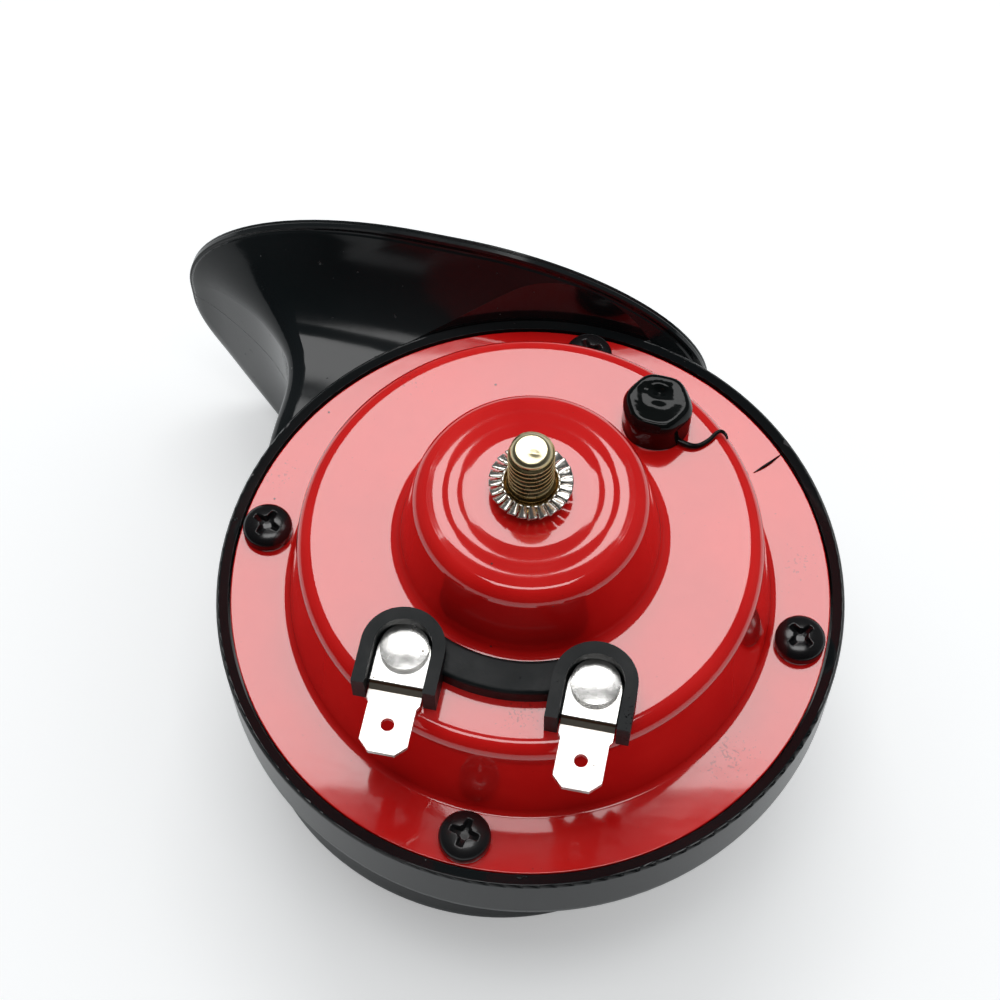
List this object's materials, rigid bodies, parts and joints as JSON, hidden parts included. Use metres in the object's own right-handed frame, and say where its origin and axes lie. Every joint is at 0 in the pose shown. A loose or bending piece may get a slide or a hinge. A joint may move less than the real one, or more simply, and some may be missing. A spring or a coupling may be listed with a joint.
{
  "type": "car horn",
  "caption": "Electric snail horn for a vehicle: stepped round steel housing with stud and spade terminals on a round black case that winds into a flared bell.",
  "frame": {"origin": "on the horn's axis at the bracket seat, the plane of the lock washer's top round the stud", "axes": "+Z out along the stud, +Y out of the bell's mouth, +X to the right with the terminals towards the viewer"},
  "size_m": [0.1094, 0.0902, 0.0811],
  "materials": {
    "housing_red": "gloss red enamel",
    "case_black": "smooth gloss black",
    "screw_black": "black coated, semi gloss",
    "stud_steel": "yellow passivated steel",
    "washer_steel": "bright zinc",
    "insulator_black": "matt black moulding",
    "terminal_tin": "bright tinned metal",
    "sealant_black": "wet gloss black",
    "inner_plastic": "natural nylon",
    "copper_wire": "enamelled copper",
    "spring_steel": "bright rolled",
    "plain_steel": "bright zinc",
    "contact_metal": "polished",
    "fibre_plate": "pressed board, brown",
    "gasket_paper": "gasket paper",
    "brass_fixings": "bright brass",
    "lead_sleeve": "red insulation"
  },
  "bodies": {
    "housing": {"rear_housing": "housing_red", "snail_rear_shell": "case_black", "snail_front_shell": "case_black", "case_screws": "screw_black", "pole_core": "stud_steel", "serrated_washer": "washer_steel", "terminal_insulator": "insulator_black", "spade_terminal_left": "terminal_tin", "spade_terminal_right": "terminal_tin", "terminal_rivets": "terminal_tin", "adjusting_screw": "screw_black", "screw_sealant": "sealant_black", "coil_bobbin": "inner_plastic", "coil_winding": "copper_wire", "coil_retainer": "spring_steel", "diaphragm": "spring_steel", "gasket_upper": "gasket_paper", "gasket_lower": "gasket_paper", "breaker_bracket": "plain_steel", "fixed_contact_arm": "spring_steel", "moving_contact_arm": "spring_steel", "fixed_contact": "contact_metal", "moving_contact": "contact_metal", "breaker_insulators": "fibre_plate", "clamp_plate": "plain_steel", "breaker_rivets": "brass_fixings", "inner_insulator": "fibre_plate", "solder_tags": "brass_fixings", "coil_lead": "copper_wire", "contact_lead": "copper_wire", "supply_lead": "lead_sleeve"},
    "armature": {"armature": "plain_steel", "diaphragm_washer": "plain_steel", "armature_nut": "plain_steel"}
  },
  "joints": [
    {"name": "armature_stroke", "type": "slide", "parent": "housing", "child": "armature", "axis": [0, 0, 1], "range_m": [-0.0003, 0.0006], "stiffness_N_per_m": 10000, "deforming": ["diaphragm", "moving_contact_arm", "moving_contact"]}
  ]
}
